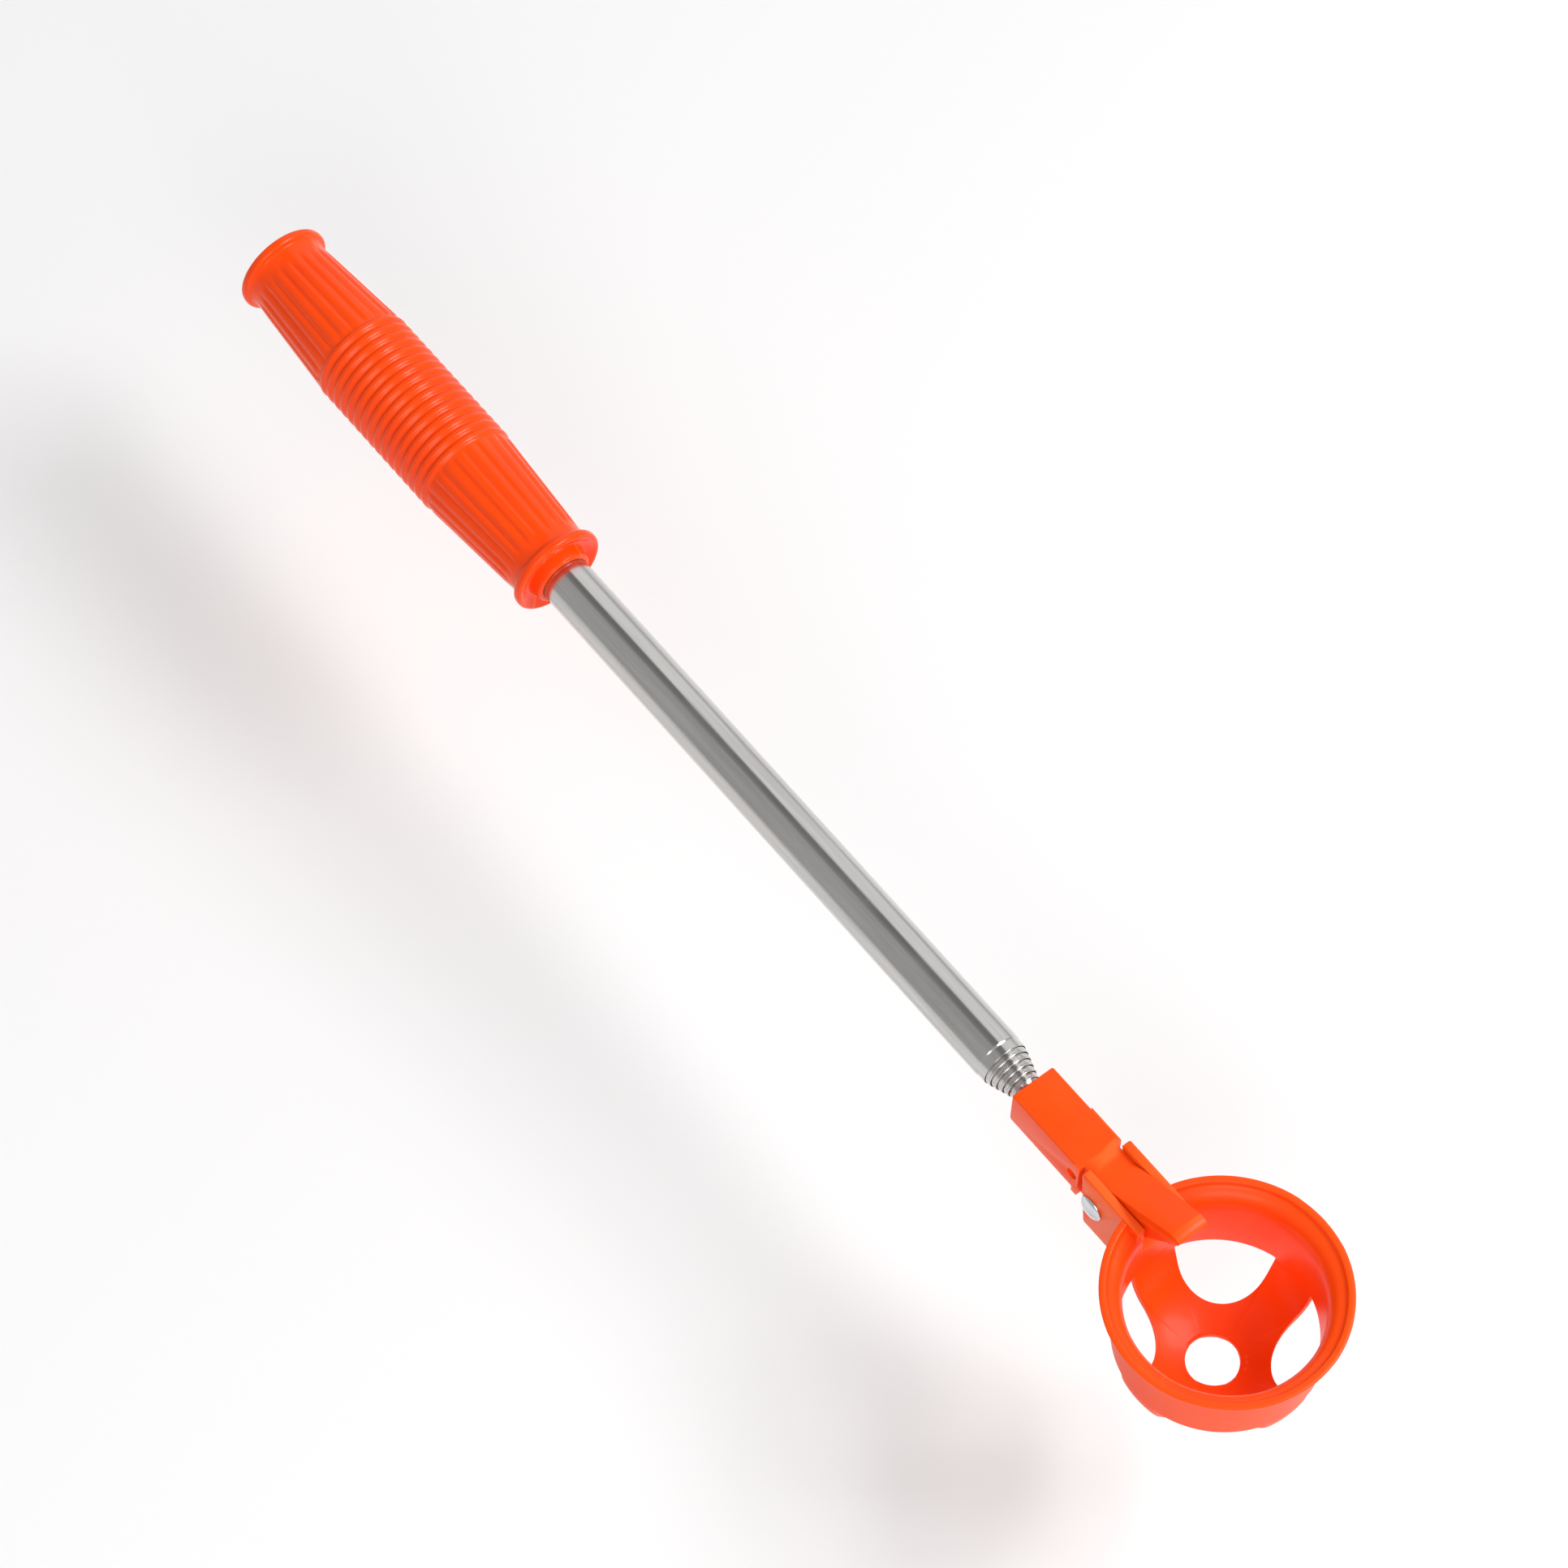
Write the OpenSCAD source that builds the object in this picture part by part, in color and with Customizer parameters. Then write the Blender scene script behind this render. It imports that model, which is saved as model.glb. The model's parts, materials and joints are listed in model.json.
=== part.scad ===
// Telescopic fruit picker basket: a ringed grip, a seven section steel pole and a hinged picking cup.
// +X runs along the pole from the grip to the cup, +Z is the side that the cup opens on, and the
// origin is the centre of the grip on the pole's axis. All sizes are in millimetres.

/* [Grip] */
// Length of the moulded grip
grip_len = 123; // [110:1:150]
// Diameter over the finger rings
grip_ring_d = 28.8; // [28.5:0.1:34]
// Length of the band of finger rings
ring_band_len = 47.6; // [38:0.2:56]
// Distance of the band's middle from the middle of the grip, towards the butt end
ring_shift = 1.6; // [0:0.2:4]
// Number of finger rings
ring_count = 16; // [12:1:22]
// Depth of the groove between two rings
ring_depth = 0.9; // [0.4:0.1:1.2]
// Diameter of the fluted cone beside the rings
flute_big_d = 28; // [26:0.1:28]
// Diameter of the fluted cone beside the flange
flute_small_d = 23.4; // [21:0.1:25]
// Number of flutes round the grip
flute_count = 22; // [10:1:24]
// Radius of one flute groove
flute_r = 0.8; // [0.5:0.1:1.2]
// Diameter of the two end flanges
flange_d = 26.9; // [26:0.1:31]
// Length of one end flange with its flare
flange_w = 6; // [5:0.5:9]
// Thickness of the flange's rim
rim_t = 2.8; // [2:0.1:4]
// Radius on the edges of the flange's rim
flange_round = 1.1; // [0.4:0.1:2]
// Width of the raised collar round the pole
collar_w = 1.4; // [1:0.2:3]
// Height that the collar stands out in front of the flange
collar_rise = 2.25; // [0.5:0.25:4]
// Depth of the dished front face
dish_depth = 1.6; // [0.6:0.2:3]
// Thickness of the closed butt end
butt_wall = 4; // [2:0.5:8]

/* [Pole] */
// Diameter of the outer tube
pole_d = 14; // [12:0.5:15]
// Difference in diameter between neighbouring tubes
tube_step = 1.1; // [1.1:0.05:1.2]
// Wall of every tube
tube_wall = 0.3; // [0.25:0.05:0.32]
// Length of outer tube that shows in front of the grip
shown_len = 183; // [150:1:260]
// Length of outer tube held inside the grip
insert_len = 100; // [70:1:110]
// Step from one tube mouth to the next with the pole shut
mouth_step = 1.7; // [1.6:0.1:3]
// Length of the drawn-in collar at the mouth of the outer tube
collar_len = 2.4; // [2:0.1:6]
// Length of the rolled lip at the mouth of each inner tube
lip_len = 0.8; // [0.5:0.1:1.2]
// Radial clearance where a tube slides in the next tube's mouth
slide_gap = 0.05; // [0.03:0.01:0.08]
// Radial clearance of a friction bush in the tube round it
bush_gap = 0.03; // [0.02:0.01:0.05]
// Length of one friction bush
bush_len = 14; // [8:1:20]
// Width of the split along one friction bush
bush_split = 1.2; // [0.8:0.2:2]
// Length of the plug that shuts the rear of the outer tube
plug_len = 3; // [2:0.5:6]

/* [Neck] */
// Diameter of the neck's round +Y side
barrel_d = 14; // [12:0.1:14]
// Length of the barrel that takes the pole
barrel_len = 14.9; // [13:0.1:20]
// Width of the flat land along the top of the neck
land_w = 13; // [10:0.5:13.5]
// Radius under the neck's flat -Y side
side_round = 2.5; // [1:0.25:4]
// Length from the start of the neck to the rivet
neck_len = 33; // [32:0.5:42]
// Width of the neck's block
block_w = 13.6; // [12:0.1:14]
// Height of the neck's block and hinge zone
block_h = 14.1; // [14.1:0.1:16]
// Wall left round the pocket in the block
frame_wall = 2; // [1.4:0.1:2.6]
// Depth of the pockets past the middle of the neck
pocket_past = 2; // [0.5:0.25:2.25]
// Diameter of the dent in the neck's closed side
dent_d = 3.4; // [2:0.2:4]
// Depth of that dent
dent_depth = 0.9; // [0.4:0.1:1.2]
// Length from the rivet back to the block's shoulder
shoulder_len = 6.8; // [6.4:0.1:8]
// Drop of the rivet below the pole's axis
rivet_drop = 2; // [1:0.1:2.4]
// Diameter of the domed boss over the neck pin
boss_d = 5.8; // [4:0.2:7]
// Height of the domed boss over the neck pin
boss_h = 1; // [0.6:0.1:1.6]
// Diameter of the pin through the neck and the last tube
pin_d = 2; // [1.5:0.25:2.5]
// Place of the neck pin from the start of the neck
pin_at = 7; // [5:0.5:8]

/* [Tongue] */
// Width of the tongue
tongue_w = 9.2; // [7:0.1:9.8]
// Reach of the tongue's tip in front of the rivet
tongue_reach = 28.9; // [25:0.1:35]
// Rise of the tongue's top face in degrees
tongue_rise = 26; // [22:0.5:30]
// Depth of the bead at the tongue's tip
bead_t = 2.6; // [2:0.1:3.2]
// Wall left round the pocket in the tongue
tongue_wall = 2.2; // [1.6:0.1:2.6]

/* [Cup] */
// Width that the flared rim stands out from the straight wall
rim_flare = 4.5; // [2.5:0.1:8]
// Outer diameter of the straight wall
cup_d = 54.4; // [48:0.2:64]
// Wall of the cup
cup_wall = 1.9; // [1.4:0.1:2.4]
// Depth of the cup over all
cup_depth = 43.5; // [39:0.5:52]
// Depth of the straight part of the wall
straight_depth = 24.5; // [24:0.5:26]
// Height of the flare under the rim
flare_h = 5; // [4:0.5:7]
// Diameter of the hole in the bottom
drain_d = 13.8; // [8:0.2:16]
// Radius of one side window seen from above
window_r = 13; // [9:0.5:14]
// Distance from the cup's axis to the inner edge of a side window
window_near = 10; // [9:0.5:12]
// Length from the rivet to the cup's straight wall
wall_reach = 14; // [13.8:0.2:18.8]
// Height of the rim above the rivet
rim_above = 11.2; // [10.6:0.1:12]

/* [Hinge] */
// Thickness of one ear
ear_t = 2.4; // [1.8:0.1:3]
// Height of the ears' top edge above the rivet
ear_top = 11.2; // [10.6:0.1:12]
// Height of one ear
ear_h = 22.2; // [19:0.2:24]
// Length of ear behind the rivet
ear_back = 3.7; // [3.5:0.1:4]
// Slant of the ears' rear edge in degrees
ear_slant = 7; // [5:0.5:9]
// Gap on each side between the hinge zone and an ear
ear_gap = 0.2; // [0.1:0.05:0.3]
// Width of the neck between the ears
hinge_w = 10.4; // [10:0.1:10.8]
// Depth of the slot in the cup's wall that the tongue passes
slot_depth = 12; // [11.5:0.5:14]
// Diameter of the hinge rivet
rivet_d = 4; // [3:0.2:4.6]
// Radial running clearance of the rivet in the neck
rivet_gap = 0.05; // [0.02:0.01:0.1]
// Diameter of the rivet's domed head
head_d = 7.4; // [6.4:0.2:9]
// Height of the rivet's domed head
head_h = 1.5; // [1:0.1:2]
// Thickness of the washer under the clenched end
washer_t = 0.5; // [0.3:0.1:1]

/* [Hidden] */

$fn = 96;
eps = 0.01;
orange = [1, 0.3, 0.06];
steel = [0.75, 0.76, 0.78];
brass = [0.8, 0.65, 0.35];

// Places along the pole
grip_front = grip_len / 2;
tube_front = grip_front + shown_len;
tube_rear = grip_front - insert_len;
seat_x = tube_rear + plug_len + 0.5;
last_tube = 7;
neck_x = tube_front + (last_tube - 1) * mouth_step;
rivet_x = neck_x + neck_len;
tube_grip_len = barrel_len - 1.5;

// Radii of the tubes
function tube_r(k) = (pole_d - (k - 1) * tube_step) / 2;
function bore_r(k) = tube_r(k) - tube_wall;
function mouth_r(k) = tube_r(k + 1) + slide_gap;
function tube_mouth_x(k) = tube_front + (k - 1) * mouth_step;
function tube_rear_x(k) = seat_x + (k - 2) * mouth_step;
draw_in = tube_step / 2 - tube_wall;
bead_h = draw_in - 0.1;
bead_len = 0.8;

// Hinge and cup
block_len = neck_len - barrel_len - shoulder_len;
top_z = block_h / 2 + rivet_drop;
bottom_z = rivet_drop - block_h / 2;
ear_in = hinge_w / 2 + ear_gap;
ear_out = ear_in + ear_t;
cup_r = cup_d / 2;
rim_r = cup_r + rim_flare;
cup_reach = wall_reach + cup_r;

function unit(v) = v / norm(v);

// Arc that rounds the corner b between the points a and c with the radius r
function corner(a, b, c, r, n) =
    let (
        u = unit(a - b),
        w = unit(c - b),
        half = acos(u * w) / 2,
        centre = b + unit(u + w) * r / sin(half),
        from = b + u * r / tan(half) - centre,
        turn = (180 - 2 * half) * sign(u[0] * w[1] - u[1] * w[0]),
        start = atan2(from[1], from[0])
    )
    [for (i = [0:n]) centre + r * [cos(start - turn * i / n), sin(start - turn * i / n)]];

// Outline whose corners, given as [x, y, radius], are rounded
function rounded(c, n = 6) = [
    for (i = [0:len(c) - 1])
        let (
            a = c[(i + len(c) - 1) % len(c)],
            b = c[i],
            d = c[(i + 1) % len(c)]
        )
        each b[2] > 0
            ? corner([a[0], a[1]], [b[0], b[1]], [d[0], d[1]], b[2], n)
            : [[b[0], b[1]]]
];

// Point where the line through p at angle a meets the line through q at angle b
function meet(p, a, q, b) =
    let (t = ((q[0] - p[0]) * sin(b) - (q[1] - p[1]) * cos(b)) / sin(b - a))
    p + t * [cos(a), sin(a)];

// Solid of revolution about the X axis from an outline of [x, radius] points
module turned(outline) {
    rotate([0, 90, 0])
        mirror([1, 0, 0])
            rotate_extrude()
                polygon([for (p = outline) [p[1], p[0]]]);
}

// Cylinder along X from x0 to x1
module rod_x(r, x0, x1) {
    translate([x0, 0, 0]) rotate([0, 90, 0]) cylinder(r = r, h = x1 - x0);
}

// Plate of thickness t across Y, centred, from an outline in X and Z
module plate(outline, t) {
    rotate([90, 0, 0]) linear_extrude(height = t, center = true) polygon(outline);
}

// Cylinder along Y, centred
module cross_rod(r, length) {
    rotate([90, 0, 0]) cylinder(r = r, h = length, center = true);
}

// ---- Grip ----

function ring_end(side) = side * ring_band_len / 2 - ring_shift;
function flute_len(side) = grip_front - flange_w - abs(ring_end(side));
edge_round = min(flange_round, rim_t / 2 - 0.1);
dish_r = flange_d / 2 - edge_round;
collar_r = pole_d / 2 + collar_w;
collar_front = grip_front + collar_rise;
collar_edge = min(1.2, collar_w / 2, collar_rise);

// Half outline of the grip: rings, cone and flange on the front half
function ring_points() =
    let (pitch = ring_band_len / ring_count, steps = 6)
    [for (i = [0:ring_count * steps])
        [ring_end(-1) + pitch * i / steps,
         grip_ring_d / 2 - ring_depth * pow(abs(cos(180 * i / steps)), 2.5)]];

function flange_points(side) =
    let (
        inner = grip_front - flange_w,
        rim_back = grip_front - rim_t,
        small = flute_small_d / 2,
        r = flange_d / 2,
        rise = r - edge_round - small,
        flare = [for (a = [0:15:75])
            [inner + (rim_back - inner) * sin(a), small + rise * (1 - cos(a))]],
        pts = concat(flare, rounded([
            [rim_back, r - edge_round - 0.05, 0],
            [rim_back, r, edge_round],
            [grip_front, r, edge_round],
            [grip_front, r - edge_round - 0.05, 0]]))
    )
    [for (i = [0:len(pts) - 1]) side > 0 ? pts[i] : [-pts[len(pts) - 1 - i][0], pts[len(pts) - 1 - i][1]]];

module flutes(side) {
    length = flute_len(side);
    slope = atan2((flute_big_d - flute_small_d) / 2, length);
    for (i = [0:flute_count - 1])
        rotate([360 * i / flute_count, 0, 0])
            translate([ring_end(side) + side * 1.2, 0, flute_big_d / 2 + 0.25 * flute_r])
                rotate([0, side * slope, 0])
                    rotate([0, side * 90, 0])
                        cylinder(r = flute_r, h = length - 2.4, $fn = 24);
}

module grip() {
    color(orange)
        difference() {
            turned(concat(
                [[-grip_front, 0]],
                flange_points(-1),
                ring_points(),
                flange_points(1),
                rounded([
                    [grip_front, collar_r, 0],
                    [collar_front, collar_r, collar_edge],
                    [collar_front, 0, 0]])));
            flutes(1);
            flutes(-1);
            rod_x(pole_d / 2, -grip_front + butt_wall, collar_front + eps);
            turned([
                [grip_front - dish_depth, collar_r],
                [grip_front + eps, collar_r],
                [grip_front + eps, dish_r - 0.3],
                [grip_front - dish_depth, dish_r - 1.9]]);
        }
}

// ---- Pole ----

// Outer tube: drawn in at its mouth so that the next tube's bush can't leave it
module outer_tube() {
    r = tube_r(1);
    color(steel)
        turned([
            [tube_rear, bore_r(1)],
            [tube_rear, r],
            [tube_front - collar_len - 0.5, r],
            [tube_front - collar_len, r - draw_in],
            [tube_front - 0.2, r - draw_in],
            [tube_front, r - draw_in - 0.1],
            [tube_front, mouth_r(1)],
            [tube_front - collar_len, mouth_r(1)],
            [tube_front - collar_len - 0.5, bore_r(1)]]);
}

// Inner tube k: a rear seat for the next tube, two beads that hold its bush and a rolled lip
module inner_tube(k) {
    rear = tube_rear_x(k);
    mouth = tube_mouth_x(k);
    bush = rear + bead_len;
    r = tube_r(k);
    bead = [
        [rear, r + bead_h],
        [bush, r + bead_h],
        [bush, r],
        [bush + bush_len, r],
        [bush + bush_len, r + bead_h],
        [bush + bush_len + bead_len / 2, r + bead_h],
        [bush + bush_len + bead_len, r]];
    seat = mouth_step - 0.1;
    front = k < last_tube
        ? [[mouth - lip_len, r],
           [mouth - lip_len / 3, r - draw_in * 0.4],
           [mouth, r - draw_in],
           [mouth, mouth_r(k)],
           [mouth - lip_len, mouth_r(k)],
           [mouth - lip_len - 0.2, bore_r(k)],
           [rear + seat, bore_r(k)],
           [rear + seat, bore_r(k + 1)],
           [rear, bore_r(k + 1)]]
        : [[neck_x + tube_grip_len, r],
           [neck_x + tube_grip_len, bore_r(k)],
           [rear, bore_r(k)]];
    color(steel)
        difference() {
            turned(concat(bead, front));
            if (k == last_tube)
                translate([neck_x + pin_at, 0, 0]) cross_rod(pin_d / 2, 3 * r);
        }
}

module tube_2() inner_tube(2);
module tube_3() inner_tube(3);
module tube_4() inner_tube(4);
module tube_5() inner_tube(5);
module tube_6() inner_tube(6);
module tube_7() inner_tube(7);

// Split sleeve that drags on the bore of tube k - 1; the last one leaves its tube free to turn
module friction_bush(k) {
    start = tube_rear_x(k) + bead_len;
    turn_gap = k == last_tube ? bush_gap : 0;
    end_gap = k == last_tube ? 0.1 : 0;
    color(brass)
        difference() {
            rod_x(bore_r(k - 1) - bush_gap, start + end_gap, start + bush_len - end_gap);
            rod_x(tube_r(k) + turn_gap, start - 1, start + bush_len + 1);
            translate([start - 1, -bush_split / 2, 0])
                cube([bush_len + 2, bush_split, pole_d]);
        }
}

module friction_bush_2() friction_bush(2);
module friction_bush_3() friction_bush(3);
module friction_bush_4() friction_bush(4);
module friction_bush_5() friction_bush(5);
module friction_bush_6() friction_bush(6);
module friction_bush_7() friction_bush(7);

// Plug pressed into the rear of the outer tube; the tubes come to rest on it
module rear_plug() {
    color(orange) {
        rod_x(bore_r(1), tube_rear, tube_rear + plug_len);
        rod_x(pole_d / 2, tube_rear - 1, tube_rear);
    }
}

// ---- Neck ----

// Tongue and hinge zone, with the rivet at [0, 0]
bead_top = [tongue_reach - 1.8 * bead_t, top_z + (tongue_reach - 1.8 * bead_t) * tan(tongue_rise)];
bead_low = bead_top + [0.8 * bead_t, -bead_t];
under_start = [6.7, bottom_z];
under_angle = atan2(bead_low[1] - under_start[1], bead_low[0] - under_start[0]);

module tongue_outline() {
    plate(rounded([
        [0, top_z, 0],
        [bead_top[0], bead_top[1], 3],
        [tongue_reach, bead_top[1] - 0.35 * bead_t, 1],
        [bead_low[0], bead_low[1], 0.6],
        [under_start[0], under_start[1], 2],
        [-0.5, bottom_z, 0]]), tongue_w);
}

// Plate from just past the middle of the neck out through its open +Y side
module open_side(outline) {
    translate([0, (block_w - pocket_past) / 2, 0]) plate(outline, block_w + pocket_past);
}

// Three-cornered pocket in the tongue
module tongue_pocket() {
    top_line = [0, top_z - tongue_wall / cos(tongue_rise)];
    under_line = under_start + [-tongue_wall * sin(under_angle), tongue_wall * cos(under_angle)];
    rear_angle = -32;
    rear_line = 9.5 * [cos(rear_angle + 90), sin(rear_angle + 90)];
    a = meet(top_line, tongue_rise, rear_line, rear_angle);
    b = meet(rear_line, rear_angle, under_line, under_angle);
    c = meet(top_line, tongue_rise, under_line, under_angle);
    open_side(rounded([[a[0], a[1], 0.6], [c[0], c[1], 0.6], [b[0], b[1], 0.6]]));
}

// Pocket in the hinge zone, with a boss left round the rivet
module hinge_pocket() {
    difference() {
        open_side(rounded([
            [-shoulder_len + 1.4, bottom_z + frame_wall, 0.4],
            [4, bottom_z + frame_wall, 0.4],
            [4, top_z - frame_wall - 1, 0.4],
            [-shoulder_len + 1.4, top_z - frame_wall, 0.4]]));
        cross_rod(rivet_d / 2 + 1.6, 3 * block_w);
    }
}

module block_pocket() {
    x0 = -shoulder_len - block_len + frame_wall;
    x1 = -shoulder_len - frame_wall;
    open_side(rounded([
        [x0, bottom_z + frame_wall, 0.5],
        [x1, bottom_z + frame_wall, 0.5],
        [x1, top_z - frame_wall - 0.4, 0.5],
        [x0, top_z - frame_wall - 0.4, 0.5]]));
}

// Neck behind the shoulder: round on its +Y side, flat on its -Y side and along its top
module barrel(length) {
    r = barrel_d / 2;
    side = block_w / 2;
    top = block_h / 2;
    edge = 0.7;
    intersection() {
        union() {
            rod_x(r, 0, length);
            rotate([90, 0, 90])
                linear_extrude(height = length)
                    polygon(rounded([
                        [0, -r, 0],
                        [land_w / 2, 0, 0],
                        [land_w / 2, top, 0],
                        [-side, top, 0],
                        [-side, -r, side_round]]));
        }
        turned(rounded([
            [-1, 0, 0],
            [0, 0, 0],
            [0, r - edge, 0],
            [edge, 1.5 * r, 0],
            [length, 1.5 * r, 0],
            [length, 0, 0]]));
    }
    translate([pin_at, r - 0.6, 0])
        rotate([-90, 0, 0])
            rotate_extrude($fn = 48)
                polygon(concat([[0, 0]], [for (a = [0:10:90])
                    [boss_d / 2 * cos(a), (boss_h + 0.6) * sin(a)]]));
}

// Side outline of the block from x0 to the shoulder
function block_outline(x0) = [
    [x0, bottom_z],
    [-shoulder_len, bottom_z],
    [-shoulder_len, top_z],
    [x0, top_z]];

module neck() {
    color(orange)
        difference() {
            union() {
                translate([neck_x, 0, 0]) barrel(neck_len - shoulder_len);
                translate([rivet_x, 0, -rivet_drop]) {
                    translate([0, block_w / 4, 0])
                        plate(block_outline(-shoulder_len - block_len), block_w / 2);
                    plate(block_outline(-shoulder_len - frame_wall), block_w);
                    plate(rounded([
                        [-shoulder_len - eps, bottom_z, 0],
                        [6, bottom_z, 2],
                        [6, top_z - 1, 2],
                        [0, top_z, 0],
                        [-shoulder_len - eps, top_z, 0]]), hinge_w);
                    tongue_outline();
                }
            }
            translate([neck_x, 0, 0]) {
                rod_x(tube_r(last_tube), -1, tube_grip_len);
                translate([pin_at, 0, 0]) cross_rod(pin_d / 2, barrel_d - 1);
            }
            translate([rivet_x, 0, -rivet_drop]) {
                block_pocket();
                hinge_pocket();
                tongue_pocket();
                translate([-shoulder_len - dent_d / 2 - 0.8, -block_w / 2, rivet_drop + 1])
                    cross_rod(dent_d / 2, 2 * dent_depth);
                cross_rod(rivet_d / 2 + rivet_gap, 2 * block_w);
            }
        }
}

// Cross pin that holds the last tube in the neck, hidden under the boss
module neck_pin() {
    color(steel) translate([neck_x + pin_at, 0, 0]) cross_rod(pin_d / 2, barrel_d - 1.2);
}

// ---- Cup ----

// Outline of one surface of the cup: flare, straight wall and elliptical dome, inset by t
function cup_surface(t) =
    let (
        dome_r = cup_r - t,
        dome_h = cup_depth - straight_depth - t
    )
    concat(
        [for (a = [0:15:90]) [rim_r - t * 0.7 - rim_flare * sin(a), -1.2 + 0.6 * t - flare_h * (1 - cos(a))]],
        [for (a = [0:7.5:90]) [dome_r * cos(a), -straight_depth - dome_h * sin(a)]]);

module cup_shell() {
    outer = cup_surface(0);
    inner = cup_surface(cup_wall);
    rotate_extrude()
        polygon(concat(
            [[rim_r, -0.5], [rim_r - 0.5, 0]],
            [for (i = [0:len(inner) - 1]) inner[i]],
            [for (i = [len(outer) - 1:-1:0]) outer[i]]));
}

// Side windows: each starts at the foot of the straight wall and curves in towards the drain hole
module windows() {
    for (a = [45:90:315])
        rotate([0, 0, a])
            translate([window_near + window_r, 0, -cup_depth - 1])
                cylinder(r = window_r, h = cup_depth + 1 - straight_depth);
}

// Two ears that carry the cup on the rivet, with the rivet at [0, 0]
module ears() {
    low = ear_top - ear_h;
    lean = tan(ear_slant);
    root = cup_reach - sqrt(pow(cup_r - cup_wall / 2, 2) - pow(ear_out, 2));
    for (side = [-1, 1])
        translate([0, side * (ear_in + ear_t / 2), 0])
            plate(rounded([
                [-ear_back - lean * ear_top, ear_top, 0.8],
                [-ear_back - lean * low, low, 0.8],
                [root, low, 0],
                [root, ear_top, 0]]), ear_t);
}

module cup() {
    color(orange)
        translate([rivet_x, 0, -rivet_drop])
            difference() {
                union() {
                    translate([cup_reach, 0, rim_above])
                        difference() {
                            cup_shell();
                            windows();
                            translate([0, 0, -cup_depth - 1]) cylinder(r = drain_d / 2, h = 10);
                        }
                    ears();
                }
                translate([4, -ear_in, rim_above - slot_depth])
                    cube([cup_reach - cup_r + 4, 2 * ear_in, slot_depth + 1]);
                cross_rod(rivet_d / 2, 4 * ear_out);
            }
}

// ---- Rivet ----

// Rivet through both ears: domed head on the -Y side, clenched tubular end on the +Y side
module rivet() {
    head = [for (a = [0:15:90]) [head_d / 2 * cos(a), -ear_out - head_h * sin(a)]];
    clench_r = 0.36 * head_d;
    hollow_r = 0.3 * rivet_d;
    clench_y = ear_out + washer_t;
    clench = [for (a = [-90:30:90]) [clench_r - 0.6 + 0.6 * cos(a), clench_y + 0.6 + 0.6 * sin(a)]];
    color(steel)
        translate([rivet_x, 0, -rivet_drop])
            rotate([-90, 0, 0])
                difference() {
                    rotate_extrude()
                        polygon(concat(
                            [for (i = [len(head) - 1:-1:0]) head[i]],
                            [[rivet_d / 2, -ear_out], [rivet_d / 2, clench_y]],
                            clench,
                            [[hollow_r, clench_y + 0.5], [hollow_r, clench_y - 2], [0, clench_y - 2]]));
                    for (a = [0:60:300])
                        rotate([0, 0, a + 20])
                            translate([0.36 * rivet_d, 0, clench_y + 0.4])
                                cylinder(r = 0.3, h = 2, $fn = 24);
                }
}

module rivet_washer() {
    color(steel)
        translate([rivet_x, ear_out + washer_t / 2, -rivet_drop])
            difference() {
                cross_rod(head_d / 2, washer_t);
                cross_rod(rivet_d / 2, 2 * washer_t);
            }
}

grip();
outer_tube();
rear_plug();
tube_2();
tube_3();
tube_4();
tube_5();
tube_6();
tube_7();
friction_bush_2();
friction_bush_3();
friction_bush_4();
friction_bush_5();
friction_bush_6();
friction_bush_7();
neck();
neck_pin();
cup();
rivet();
rivet_washer();
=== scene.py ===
"""Looks of a telescopic fruit picker: ringed grip, polished pole, moulded neck and hinged picking cup.

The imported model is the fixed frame. Each sub-assembly is a class that builds its meshes in metres in that
frame, gives them a finish and lets them ride on the CAD body they belong to.
"""

import json
import logging
from dataclasses import dataclass
from enum import Enum
from math import acos, asin, atan2, cos, exp, hypot, pi, radians, sin, sqrt, tan
from typing import Callable, Iterable, Optional, Sequence, Union

import bmesh
import bpy
from mathutils import Matrix, Vector


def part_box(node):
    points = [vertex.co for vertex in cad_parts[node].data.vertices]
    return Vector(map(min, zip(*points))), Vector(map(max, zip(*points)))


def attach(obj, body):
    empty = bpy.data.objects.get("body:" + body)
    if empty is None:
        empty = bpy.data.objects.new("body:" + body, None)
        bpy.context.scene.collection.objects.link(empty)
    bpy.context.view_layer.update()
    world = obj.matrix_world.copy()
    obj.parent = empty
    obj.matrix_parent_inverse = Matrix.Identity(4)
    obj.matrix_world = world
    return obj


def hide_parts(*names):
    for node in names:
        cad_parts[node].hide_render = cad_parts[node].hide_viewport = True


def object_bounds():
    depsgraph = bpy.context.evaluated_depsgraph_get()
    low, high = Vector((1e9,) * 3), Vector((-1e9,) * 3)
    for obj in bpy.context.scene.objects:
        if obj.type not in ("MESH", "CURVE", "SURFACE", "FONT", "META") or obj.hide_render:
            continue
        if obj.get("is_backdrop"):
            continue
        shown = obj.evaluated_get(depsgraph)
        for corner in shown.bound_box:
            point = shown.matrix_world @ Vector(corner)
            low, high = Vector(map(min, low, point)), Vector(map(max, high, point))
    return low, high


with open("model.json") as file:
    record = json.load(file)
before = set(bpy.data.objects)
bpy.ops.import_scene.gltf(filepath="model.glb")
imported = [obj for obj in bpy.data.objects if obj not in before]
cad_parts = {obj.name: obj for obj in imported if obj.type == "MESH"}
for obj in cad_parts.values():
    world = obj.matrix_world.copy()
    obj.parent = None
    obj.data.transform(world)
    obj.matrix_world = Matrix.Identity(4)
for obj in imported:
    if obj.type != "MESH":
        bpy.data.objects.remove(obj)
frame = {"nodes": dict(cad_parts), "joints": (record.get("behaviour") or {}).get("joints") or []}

LOG = logging.getLogger("fruit_picker")
MM = 0.001
Number = Union[int, float]
Colour = tuple[float, float, float]
Corner = tuple[float, float, float]
Point = tuple[float, float]


# ---------------------------------------------------------------- shader nodes


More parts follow.
